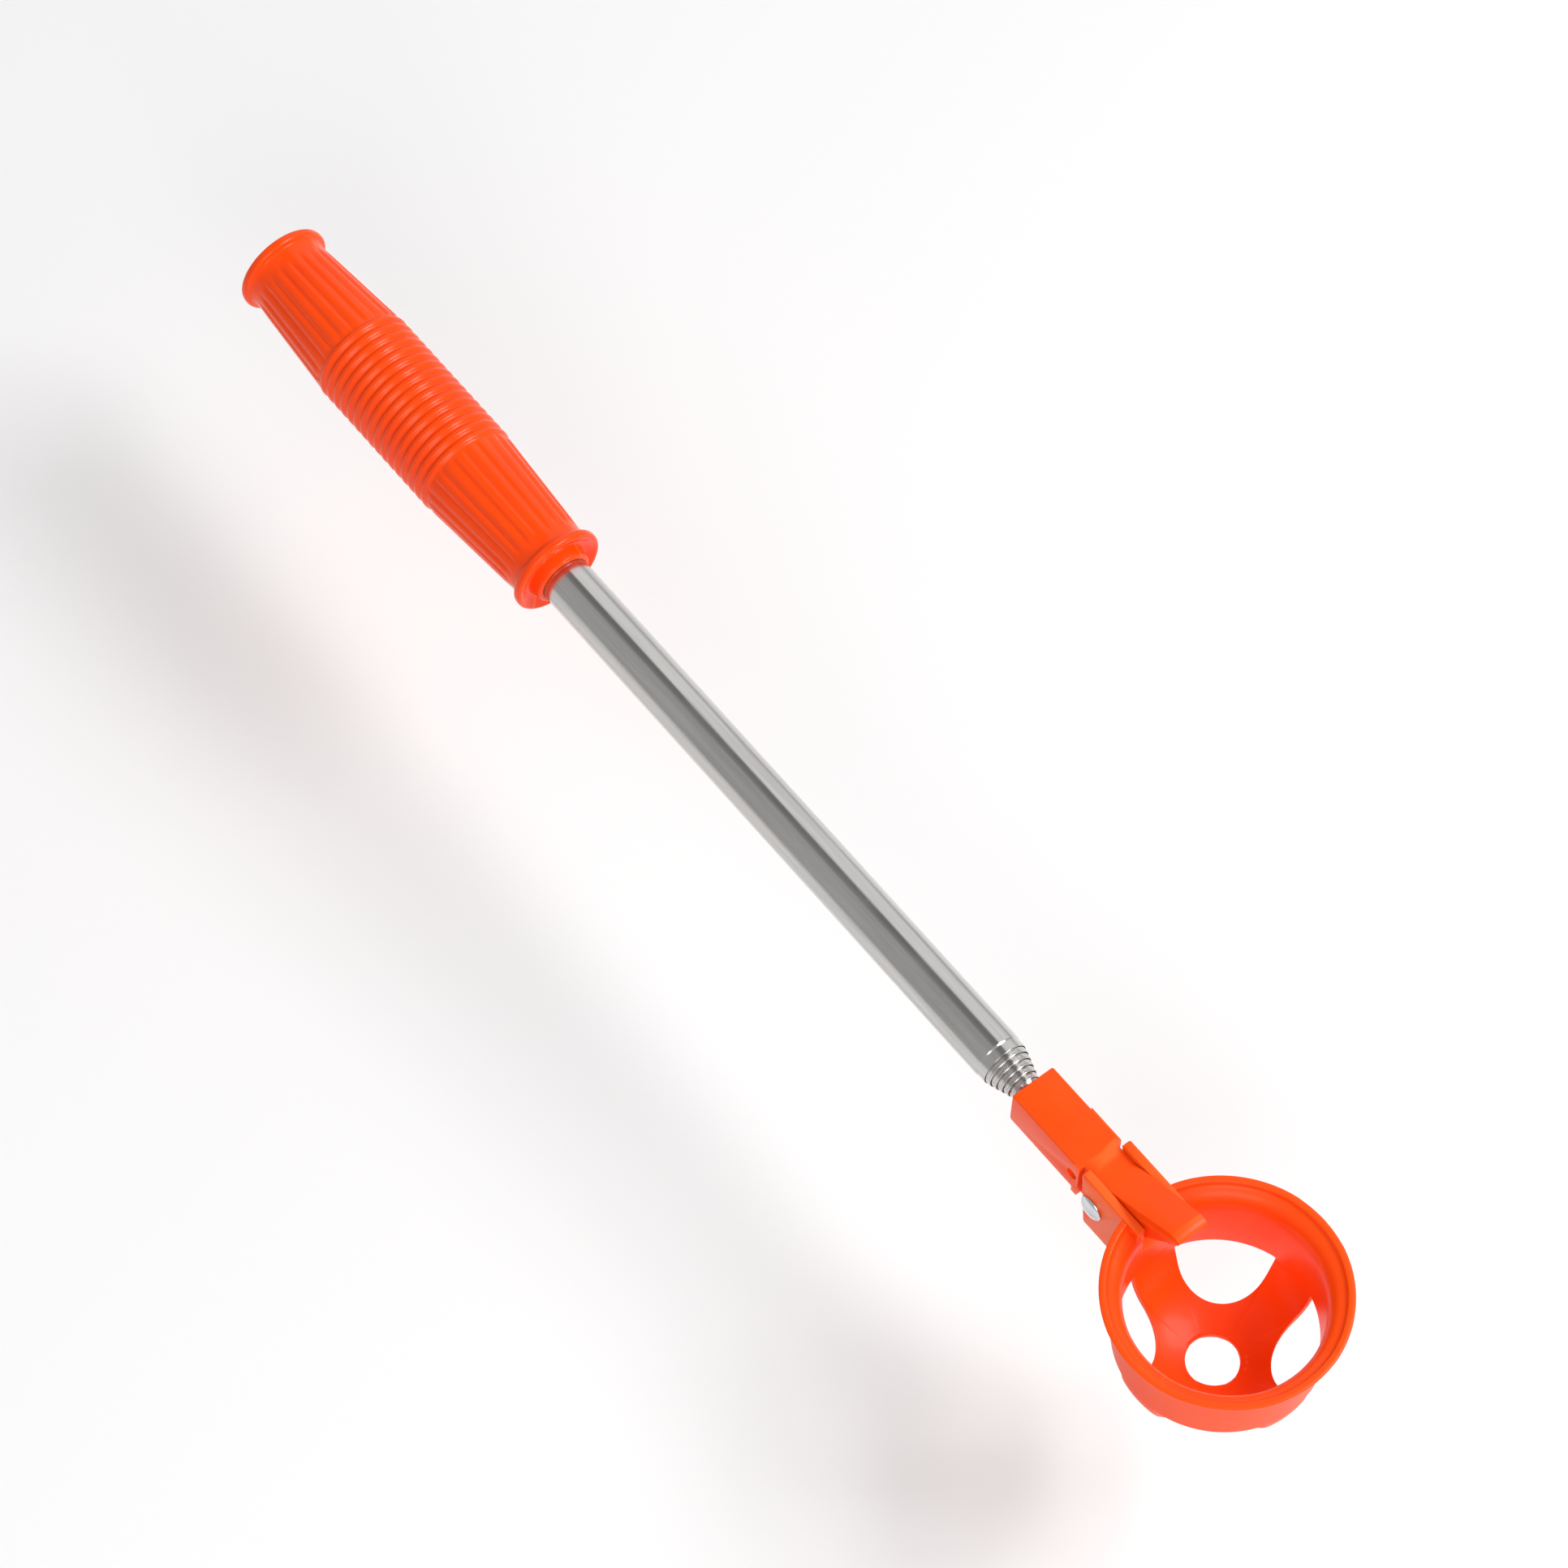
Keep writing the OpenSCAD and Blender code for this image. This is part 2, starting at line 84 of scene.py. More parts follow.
class Wire:
    """One output socket of a node tree, on which plain Python maths adds Math nodes."""

    def __init__(self, shader: "Shader", socket: bpy.types.NodeSocket) -> None:
        """Keeps the socket and the shader it belongs to."""
        self.shader = shader
        self.socket = socket

    def _maths(self, operation: str, *values: Union["Wire", Number], clamp: bool = False) -> "Wire":
        """Adds one Math node.

        Args:
            operation: The Math node's operation.
            values: Its inputs in order, each a wire or a number.
            clamp: Whether the result is held between 0 and 1.

        Returns:
            The node's result.
        """
        settings = {"operation": operation, "use_clamp": clamp}
        return self.shader.node("ShaderNodeMath", settings, dict(enumerate(values)))

    def __add__(self, other: Union["Wire", Number]) -> "Wire":
        """self + other."""
        return self._maths("ADD", self, other)

    __radd__ = __add__

    def __sub__(self, other: Union["Wire", Number]) -> "Wire":
        """self - other."""
        return self._maths("SUBTRACT", self, other)

    def __rsub__(self, other: Number) -> "Wire":
        """other - self."""
        return self._maths("SUBTRACT", other, self)

    def __mul__(self, other: Union["Wire", Number]) -> "Wire":
        """self * other."""
        return self._maths("MULTIPLY", self, other)

    __rmul__ = __mul__

    def __truediv__(self, other: Union["Wire", Number]) -> "Wire":
        """self / other."""
        return self._maths("DIVIDE", self, other)

    def __abs__(self) -> "Wire":
        """The size of self without its sign."""
        return self._maths("ABSOLUTE", self)

    def held(self) -> "Wire":
        """self, held between 0 and 1."""
        return self._maths("ADD", self, 0.0, clamp=True)

    def step(self, low: float, high: float) -> "Wire":
        """0 below low and 1 above high, with an even rise between them."""
        return ((self - low) * (1.0 / (high - low))).held()


class Shader:
    """A node tree, with one method that adds any node."""

    def __init__(self, tree: bpy.types.NodeTree) -> None:
        """Empties the tree and keeps it."""
        self.tree = tree
        tree.nodes.clear()

    def node(
        self,
        kind: str,
        settings: Optional[dict] = None,
        inputs: Optional[dict] = None,
        output: Union[int, str] = 0,
    ) -> Wire:
        """Adds one node.

        Args:
            kind: The node's type.
            settings: Its own properties, and ramp stops under "stops", all set before the inputs.
            inputs: Values or wires for its sockets, by socket name or number.
            output: The socket to return, by name or number.

        Returns:
            The chosen output.
        """
        node = self.tree.nodes.new(kind)
        for key, value in (settings or {}).items():
            if key == "stops":
                self._set_stops(node.color_ramp, value)
            else:
                setattr(node, key, value)
        for key, value in (inputs or {}).items():
            if isinstance(value, Wire):
                self.tree.links.new(value.socket, node.inputs[key])
            else:
                node.inputs[key].default_value = value
        return Wire(self, node.outputs[output])

    @staticmethod
    def _set_stops(ramp: bpy.types.ColorRamp, stops: Sequence[tuple[float, float]]) -> None:
        """Gives a colour ramp its grey stops, each a place and a value."""
        while len(ramp.elements) < len(stops):
            ramp.elements.new(0.5)
        for element, (place, value) in zip(ramp.elements, stops):
            element.position = place
            element.color = (value, value, value, 1.0)

    def place(self, stretch: Corner = (1.0, 1.0, 1.0)) -> Wire:
        """A point's place on its piece in metres, scaled along each axis."""
        at = self.node("ShaderNodeTexCoord", output="Object")
        return self.node("ShaderNodeMapping", {"vector_type": "POINT"}, {"Vector": at, "Scale": stretch})

    def noise(self, at: Wire, scale: float, detail: float = 2.0, roughness: float = 0.5) -> Wire:
        """Soft noise from 0 to 1 with features of about 1 / scale metres."""
        values = {"Vector": at, "Scale": scale, "Detail": detail, "Roughness": roughness}
        return self.node("ShaderNodeTexNoise", {}, values)

    def blend(self, share: Wire, first: Union[Wire, Colour], second: Union[Wire, Colour]) -> Wire:
        """Mixes two colours by share."""
        first, second = (c if isinstance(c, Wire) else (*c, 1.0) for c in (first, second))
        return self.node("ShaderNodeMix", {"data_type": "RGBA"}, {0: share, 6: first, 7: second}, output=2)

    def bump(self, height: Wire, strength: float, depth: float, under: Optional[Wire] = None) -> Wire:
        """Bump from a height, on top of another bump if one is given."""
        values: dict = {"Height": height, "Strength": strength, "Distance": depth}
        if under is not None:
            values["Normal"] = under
        return self.node("ShaderNodeBump", {}, values)

    def edge_wear(self, low: float, high: float) -> Wire:
        """1 on sharp outer edges and 0 on flat and hollow surface."""
        point = self.node("ShaderNodeNewGeometry", output="Pointiness")
        return point.step(low, high)


def new_material(name: str) -> tuple[bpy.types.Material, Shader]:
    """A new material and the shader of its empty tree."""
    material = bpy.data.materials.new(name)
    material.use_nodes = True
    return material, Shader(material.node_tree)


def finish_surface(shader: Shader, **sockets: object) -> None:
    """Ends a material's tree in a Principled surface.

    Args:
        shader: The material's shader.
        sockets: Values and wires for the surface, with underscores for the spaces in socket names.
    """
    inputs = {key.replace("_", " "): value for key, value in sockets.items()}
    surface = shader.node("ShaderNodeBsdfPrincipled", {}, inputs)
    end = shader.tree.nodes.new("ShaderNodeOutputMaterial")
    shader.tree.links.new(surface.socket, end.inputs["Surface"])


# ---------------------------------------------------------------- finishes


@dataclass(frozen=True)
class MouldedPlastic:
    """Injection moulded plastic: cloudy tint, fine skin, scuffs and paler worn edges."""

    colour: Colour
    deep: Colour
    worn: Colour
    gloss: float
    skin_depth: float
    coat: float
    shine: float = 0.4

    def build(self, name: str) -> bpy.types.Material:
        """Makes the material under that name."""
        material, shader = new_material(name)
        at = shader.place()
        cloud = shader.noise(at, 55.0, 3.0)
        skin = shader.noise(at, 1900.0, 2.0, 0.6)
        swell = shader.noise(at, 160.0, 1.0)
        scuff = shader.noise(shader.place((1.0, 3.0, 0.6)), 420.0, 6.0, 0.75).step(0.6, 0.74)
        wear = shader.edge_wear(0.53, 0.62)
        tint = shader.blend(cloud.step(0.25, 0.75), self.colour, self.deep)
        tint = shader.blend(wear * 0.55, tint, self.worn)
        rough = self.gloss + cloud * 0.07 + scuff * 0.07 + wear * 0.08
        normal = shader.bump(swell, 0.25, 0.12 * MM)
        normal = shader.bump(skin, 0.35, self.skin_depth, normal)
        finish_surface(
            shader,
            Base_Color=tint,
            Roughness=rough,
            Normal=normal,
            Specular_IOR_Level=self.shine,
            Coat_Weight=self.coat,
            Coat_Roughness=0.08,
        )
        return material


@dataclass(frozen=True)
class DrawnSteel:
    """Polished stainless tube: fine lines along the tube, faint smudges and slight ripple."""

    colour: Colour
    gloss: float
    line_depth: float

    def build(self, name: str) -> bpy.types.Material:
        """Makes the material under that name."""
        material, shader = new_material(name)
        lines = shader.noise(shader.place((0.012, 1.0, 1.0)), 5200.0, 3.0, 0.7)
        bands = shader.noise(shader.place((0.04, 1.0, 1.0)), 620.0, 2.0)
        smudge = shader.noise(shader.place(), 70.0, 4.0, 0.6)
        dark = tuple(0.78 * c for c in self.colour)
        tint = shader.blend((bands * 0.5 + lines * 0.5).step(0.32, 0.66), self.colour, dark)
        rough = self.gloss + lines * 0.09 + smudge.step(0.45, 0.75) * 0.08
        normal = shader.bump(lines, 0.3, self.line_depth)
        finish_surface(shader, Base_Color=tint, Metallic=1.0, Roughness=rough, Normal=normal)
        return material


@dataclass(frozen=True)
class PressedMetal:
    """Small bright metal piece: fine pits and slight tarnish."""

    colour: Colour
    gloss: float

    def build(self, name: str) -> bpy.types.Material:
        """Makes the material under that name."""
        material, shader = new_material(name)
        at = shader.place()
        pits = shader.noise(at, 2600.0, 3.0, 0.6)
        tarnish = shader.noise(at, 380.0, 3.0).step(0.35, 0.75)
        dull = tuple(0.72 * c for c in self.colour)
        tint = shader.blend(tarnish * 0.6, self.colour, dull)
        rough = self.gloss + tarnish * 0.12 + pits * 0.06
        normal = shader.bump(pits, 0.25, 0.02 * MM)
        finish_surface(shader, Base_Color=tint, Metallic=1.0, Roughness=rough, Normal=normal)
        return material


class Finish(Enum):
    """The finishes of the object, named as the record's material slots."""

    GRIP = "grip_orange"
    HEAD = "head_orange"
    TUBE = "tube_steel"
    RIVET = "rivet_steel"
    BUSH = "bush_brass"
    PLUG = "plug_plastic"


RECIPES: dict[Finish, Union[MouldedPlastic, DrawnSteel, PressedMetal]] = {
    Finish.GRIP: MouldedPlastic(
        (1.0, 0.074, 0.001), (0.96, 0.06, 0.001), (1.0, 0.15, 0.015), 0.2, 0.012 * MM, 0.05, 0.22
    ),
    Finish.HEAD: MouldedPlastic(
        (1.0, 0.08, 0.001), (0.97, 0.064, 0.001), (1.0, 0.16, 0.02), 0.32, 0.02 * MM, 0.04, 0.2
    ),
    Finish.TUBE: DrawnSteel((0.66, 0.645, 0.63), 0.12, 0.01 * MM),
    Finish.RIVET: PressedMetal((0.72, 0.74, 0.78), 0.2),
    Finish.BUSH: PressedMetal((0.72, 0.52, 0.22), 0.3),
    Finish.PLUG: MouldedPlastic(
        (0.03, 0.03, 0.032), (0.02, 0.02, 0.022), (0.06, 0.06, 0.06), 0.5, 0.04 * MM, 0.0
    ),
}


class Paintbox:
    """Holds the built materials and paints pieces with them."""

    def __init__(self) -> None:
        """Builds every finish once."""
        self.materials = {finish: recipe.build(finish.value) for finish, recipe in RECIPES.items()}

    def paint(self, piece: bpy.types.Object, finish: Finish) -> None:
        """Gives a whole piece one finish."""
        material = self.materials[finish]
        if not piece.data.materials:
            piece.data.materials.append(material)
        for held in piece.material_slots:
            held.material = material


# ---------------------------------------------------------------- mesh helpers


def new_piece(
    name: str, vertices: Sequence[Sequence[float]], faces: Iterable[Sequence[int]]
) -> bpy.types.Object:
    """Makes a mesh object from points in metres and faces, with its faces turned outward."""
    mesh = bpy.data.meshes.new(name)
    mesh.from_pydata([tuple(v) for v in vertices], [], [tuple(f) for f in faces])
    work = bmesh.new()
    work.from_mesh(mesh)
    bmesh.ops.remove_doubles(work, verts=work.verts, dist=1e-7)
    bmesh.ops.recalc_face_normals(work, faces=work.faces)
    work.to_mesh(mesh)
    work.free()
    piece = bpy.data.objects.new(name, mesh)
    bpy.context.scene.collection.objects.link(piece)
    return piece


def smooth(piece: bpy.types.Object, angle_deg: float = 40.0) -> None:
    """Shades a piece smooth, with edges sharper than the angle kept hard."""
    piece.data.polygons.foreach_set("use_smooth", [True] * len(piece.data.polygons))
    piece.data.set_sharp_from_angle(angle=radians(angle_deg))


def bake_modifiers(piece: bpy.types.Object) -> None:
    """Replaces a piece's mesh with what its modifiers make of it."""
    seen = piece.evaluated_get(bpy.context.evaluated_depsgraph_get())
    mesh = bpy.data.meshes.new_from_object(seen)
    old = piece.data
    piece.modifiers.clear()
    piece.data = mesh
    bpy.data.meshes.remove(old)


def combine(piece: bpy.types.Object, tool: bpy.types.Object, operation: str) -> None:
    """Joins, cuts or intersects a piece with a tool, which is used up."""
    change = piece.modifiers.new(operation.lower(), "BOOLEAN")
    change.operation = operation
    change.solver = "EXACT"
    change.object = tool
    bake_modifiers(piece)
    mesh = tool.data
    bpy.data.objects.remove(tool)
    bpy.data.meshes.remove(mesh)


def bevel(piece: bpy.types.Object, width: float, segments: int = 3, angle_deg: float = 40.0) -> None:
    """Rounds every edge that is sharper than the angle."""
    change = piece.modifiers.new("bevel", "BEVEL")
    change.width = width
    change.segments = segments
    change.limit_method = "ANGLE"
    change.angle_limit = radians(angle_deg)
    change.use_clamp_overlap = True
    change.miter_outer = "MITER_ARC"
    bake_modifiers(piece)


def rounded_outline(corners: Sequence[Corner], steps: int = 5) -> list[Point]:
    """Closed outline with rounded corners.

    Args:
        corners: Each corner as its two coordinates and its radius.
        steps: Segments in each arc.

    Returns:
        The points of the outline.
    """
    points: list[Point] = []
    for i, (x, y, radius) in enumerate(corners):
        here = Vector((x, y))
        before = (Vector(corners[i - 1][:2]) - here).normalized()
        after = (Vector(corners[(i + 1) % len(corners)][:2]) - here).normalized()
        if radius <= 0:
            points.append((x, y))
            continue
        half = before.angle(after) / 2
        centre = here + (before + after).normalized() * radius / sin(half)
        start = here + before * radius / tan(half) - centre
        turn = pi - 2 * half
        side = 1 if before.x * after.y - before.y * after.x > 0 else -1
        base = atan2(start.y, start.x)
        for k in range(steps + 1):
            a = base - side * turn * k / steps
            points.append((centre.x + radius * cos(a), centre.y + radius * sin(a)))
    return points


def prism(name: str, outline: Sequence[Point], low: float, high: float, origin: Vector) -> bpy.types.Object:
    """Plate whose outline is in X and Z from the origin and which runs from low to high in Y."""
    n = len(outline)
    vertices = [origin + Vector((x, y, z)) for y in (low, high) for x, z in outline]
    sides = [(i, (i + 1) % n, n + (i + 1) % n, n + i) for i in range(n)]
    return new_piece(name, vertices, [*sides, tuple(range(n)), tuple(range(2 * n - 1, n - 1, -1))])


def sweep(turn: float, steps: int, first: int = 0) -> list[float]:
    """Angles in even steps up to a turn, from step first on."""
    return [turn * k / steps for k in range(first, steps + 1)]


def quads(rows: int, columns: int) -> list[Sequence[int]]:
    """Faces between neighbouring closed rows of points."""
    faces = []
    for low in range(0, (rows - 1) * columns, columns):
        for j in range(columns):
            m = (j + 1) % columns
            faces.append((low + j, low + m, low + columns + m, low + columns + j))
    return faces


def turned_x(
    name: str,
    outline: Sequence[Point],
    columns: int = 128,
    shape: Callable[[float, float, float], float] = lambda x, r, a: r,
) -> bpy.types.Object:
    """Turns an outline about the X axis.

    Args:
        name: The piece's name.
        outline: Closed outline of x and radius; points on the axis close the end.
        columns: Points round the axis.
        shape: Gives the radius at x for the turned radius and the angle.

    Returns:
        The turned piece.
    """
    vertices: list[Point] = []
    for x, r in outline:
        for j in range(columns):
            a = 2 * pi * j / columns
            s = shape(x, r, a)
            vertices.append((x, s * cos(a), s * sin(a)))
    rows = len(outline)
    faces = []
    for i in range(rows):
        k = (i + 1) % rows
        if outline[i][1] < 1e-9 and outline[k][1] < 1e-9:
            continue
        for j in range(columns):
            m = (j + 1) % columns
            faces.append((i * columns + j, i * columns + m, k * columns + m, k * columns + j))
    return new_piece(name, vertices, faces)


def cylinder_y(
    name: str, radius: float, low: float, high: float, origin: Vector, columns: int = 64
) -> bpy.types.Object:
    """Round bar along Y."""
    angles = [2 * pi * j / columns for j in range(columns)]
    outline = [(radius * cos(a), radius * sin(a)) for a in angles]
    return prism(name, outline, low, high, origin)


def cylinder_x(name: str, radius: float, low: float, high: float, columns: int = 96) -> bpy.types.Object:
    """Round bar along the pole's axis."""
    return turned_x(name, [(low, 0.0), (low, radius), (high, radius), (high, 0.0)], columns)


def joint(name: str) -> dict:
    """The record's joint of that name."""
    return next(j for j in frame["joints"] if j["name"] == name)


# ---------------------------------------------------------------- grip


@dataclass
class Grip:
    """Moulded grip: bell flanges, fluted cones and a band of finger rings."""

    ring_band: float = 47.6 * MM
    ring_shift: float = 1.6 * MM
    rings: int = 16
    ring_depth: float = 0.8 * MM
    flute_big: float = 14.0 * MM
    flute_small: float = 11.7 * MM
    flutes: int = 22
    flute_depth: float = 0.42 * MM
    flange_width: float = 6.0 * MM
    flange_radius: float = 13.45 * MM
    rim: float = 2.8 * MM
    rim_edge: float = 1.1 * MM
    collar: float = 1.4 * MM
    rise: float = 2.25 * MM
    dish: float = 1.6 * MM
    butt_wall: float = 4.0 * MM

    def _cone(self, length: float, side: int) -> list[Point]:
        """Outline of one cone and its bell flange, from the rings out to the end face."""
        start, inner = self.ring_band / 2 - side * self.ring_shift, length / 2 - self.flange_width
        points: list[Point] = []
        for i in range(1, 25):
            t = i / 24
            r = self.flute_big + (self.flute_small - self.flute_big) * t
            points.append((start + (inner - start) * t, r))
        back, edge, top = length / 2 - self.rim, self.rim_edge, self.flange_radius
        small, crown, quarter = self.flute_small, top - edge, sweep(pi / 2, 8)
        bell = [(inner + (back - inner) * sin(a), small + (crown - small) * (1 - cos(a))) for a in quarter]
        near = [(back + edge * (1 - cos(a)), crown + edge * sin(a)) for a in quarter]
        far = [(length / 2 - edge + edge * sin(a), crown + edge * cos(a)) for a in quarter]
        return [*points, *bell[1:], *near[1:], *far]

    def _face(self, end: float, bore: float) -> list[Point]:
        """Outline of the dished front face and the raised collar round the pole."""
        outer, foot = self.flange_radius - self.rim_edge, bore + self.collar + 0.8 * MM
        points: list[Point] = []
        for k in range(1, 11):
            t = k / 10
            points.append((end - self.dish * sin(pi / 2 * t) ** 1.4, outer + (foot - outer) * t))
        floor, front, lip = end - self.dish, end + self.rise, 0.7 * MM
        for k in range(1, 9):
            t = k / 8
            points.append((floor + (front - lip - floor) * t**1.6, foot - 0.9 * MM * t**0.6))
        top = points[-1][1]
        for a in sweep(pi / 2, 7, 1):
            points.append((front - lip + lip * sin(a), top - lip * (1 - cos(a))))
        edge = [(front, bore + 0.12 * MM), (front - 0.04 * MM, bore + 0.03 * MM), (front - 0.14 * MM, bore)]
        return [*points, *edge]

    def _rings(self, crest: float) -> list[Point]:
        """Outline of the finger rings, which rise out of the cones at both ends of the band."""
        steps, count = 10, self.rings
        pitch, half = self.ring_band / count, self.ring_band / 2
        points: list[Point] = []
        for i in range(count * steps + 1):
            x = -half + pitch * i / steps
            ease = min(1.0, (half - abs(x)) / (1.0 * MM))
            groove = self.ring_depth * abs(cos(pi * i / steps)) ** 3.2
            swell = self.flute_big + (crest - self.flute_big) * sin(pi / 2 * ease)
            points.append((x - self.ring_shift, swell - groove * (0.5 + 0.5 * ease)))
        return points

    def _flute(self, x: float, r: float, angle: float, end: float) -> float:
        """Radius with the narrow flutes pressed in on both cones, up to the end along the axis."""
        along = abs(x)
        start = abs(x + self.ring_shift) - self.ring_band / 2
        if start < 0.2 * MM or along > end:
            return r
        fade = min(1.0, (start - 0.2 * MM) / (0.8 * MM), (end - along) / (3.0 * MM))
        away = abs((angle * self.flutes / (2 * pi) + 0.5) % 1.0 - 0.5)
        groove = exp(-((away / 0.17) ** 2))
        crown = 0.25 * (1.0 - cos(2 * pi * away)) / 2
        return r - self.flute_depth * fade * (groove - crown)

    def build(self, paints: Paintbox) -> list[bpy.types.Object]:
        """Builds the grip's one piece."""
        low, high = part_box("grip")
        length, bore = -2 * low.x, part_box("outer_tube")[1].z
        end = length / 2 - self.flange_width
        front = self._cone(length, 1)
        rear = [(-x, r) for x, r in reversed(self._cone(length, -1))]
        cap = [(low.x, r * MM) for r in (0.0, 0.6, 4.0, 8.0)]
        floor = low.x + self.butt_wall
        hollow = [(floor + 0.2 * MM, bore), (floor, bore - 0.2 * MM), (floor, 0.0)]
        outline = [*cap, *rear, *self._rings(high.z), *front, *self._face(length / 2, bore), *hollow]
        fluted = lambda x, r, a: self._flute(x, r, a, end)
        piece = turned_x("grip_moulding", outline, self.flutes * 10, fluted)
        smooth(piece, 60.0)
        paints.paint(piece, Finish.GRIP)
        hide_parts("grip")
        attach(piece, "handle")
        return [piece]


# ---------------------------------------------------------------- pole


@dataclass
class Pole:
    """Seven nested steel tubes and what they hold inside."""

    wall: float = 0.3 * MM
    draw_in: float = 0.25 * MM
    collar: float = 2.4 * MM
    lip: float = 0.45 * MM
    lip_gap: float = 0.12 * MM
    valley: float = 0.24 * MM
    bead: float = 0.8 * MM
    bead_height: float = 0.15 * MM
    bush_length: float = 14.0 * MM
    slide_gap: float = 0.05 * MM
    step: float = 0.55 * MM

    def _outer(self, low: Vector, high: Vector) -> list[Point]:
        """Outline of the outer tube, drawn in over its collar."""
        r, front = high.z, high.x
        inner, mouth = r - self.wall, r - self.step + self.slide_gap
        drawn = r - self.draw_in
        shoulder = front - self.collar
        ease = [
            (shoulder - 0.9 * MM * (1 - t), r - self.draw_in * (3 * t * t - 2 * t * t * t))
            for t in (k / 6 for k in range(7))
        ]
        open_mouth = mouth + self.lip_gap
        middle = (drawn + open_mouth) / 2
        lip = [
            (front - 0.25 * MM * (1 - sin(a)), middle + (drawn - middle) * cos(a))
            for a in sweep(pi, 10)
        ]
        rear = [(low.x, inner), (low.x, r - 0.05 * MM), (low.x + 0.1 * MM, r)]
        return [*rear, *ease, *lip, (shoulder, mouth), (shoulder - 0.5 * MM, inner)]

    def _inner(self, low: Vector, high: Vector, r: float, last: bool) -> list[Point]:
        """Outline of an inner tube: rear flare, bush seat, bead and rolled lip."""
        rear, front, inner = low.x, high.x, r - self.wall
        bush = rear + self.bead
        far = bush + self.bush_length
        top = r + self.bead_height
        rolled = [(rear, inner), (rear, top - 0.05 * MM), (rear + 0.1 * MM, top), (bush, top), (bush, r)]
        rolled += [
            (far + self.bead * (1 - cos(a)) / 2, r + self.bead_height * sin(a))
            for a in sweep(pi, 6)
        ]
        if last:
            return [*rolled, (front - 0.1 * MM, r), (front, r - 0.1 * MM), (front, inner)]
        mouth = r - self.step + self.slide_gap + self.lip_gap
        middle = (r + mouth) / 2
        lip = [
            (front - self.lip * (1 - sin(a)), middle + (r - middle) * cos(a))
            for a in sweep(pi, 12)
        ]
        dip = front - self.lip - 0.3 * MM
        swell = [(dip - 0.75 * MM, r), (dip - 0.6 * MM, r - self.valley), (dip, r - self.valley)]
        swell += [
            (dip + 0.3 * MM * t, r - self.valley * (1 - sin(pi / 2 * t))) for t in (0.2, 0.45, 0.7)
        ]
        return [*rolled, *swell, *lip, (front - self.lip - 0.2 * MM, inner)]

    def build(self, paints: Paintbox) -> list[bpy.types.Object]:
        """Builds the tubes and paints the hidden bushes and plug."""
        pieces = []
        low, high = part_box("outer_tube")
        outer = turned_x("outer_tube_drawn", self._outer(low, high), 160)
        self._place(outer, "outer_tube", "handle", paints)
        pieces.append(outer)
        for k in range(2, 8):
            node = f"tube_{k}"
            low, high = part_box(node)
            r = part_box("outer_tube")[1].z - (k - 1) * self.step
            piece = turned_x(f"{node}_drawn", self._inner(low, high, r, k == 7), 128)
            self._place(piece, node, "head" if k == 7 else f"section_{k}", paints)
            pieces.append(piece)
            bush = frame["nodes"][f"friction_bush_{k}"]
            paints.paint(bush, Finish.BUSH)
        paints.paint(frame["nodes"]["rear_plug"], Finish.PLUG)
        return pieces

    @staticmethod
    def _place(piece: bpy.types.Object, node: str, body: str, paints: Paintbox) -> None:
        """Finishes one tube and fixes it to its body."""
        smooth(piece, 50.0)
        paints.paint(piece, Finish.TUBE)
        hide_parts(node)
        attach(piece, body)


# ---------------------------------------------------------------- neck


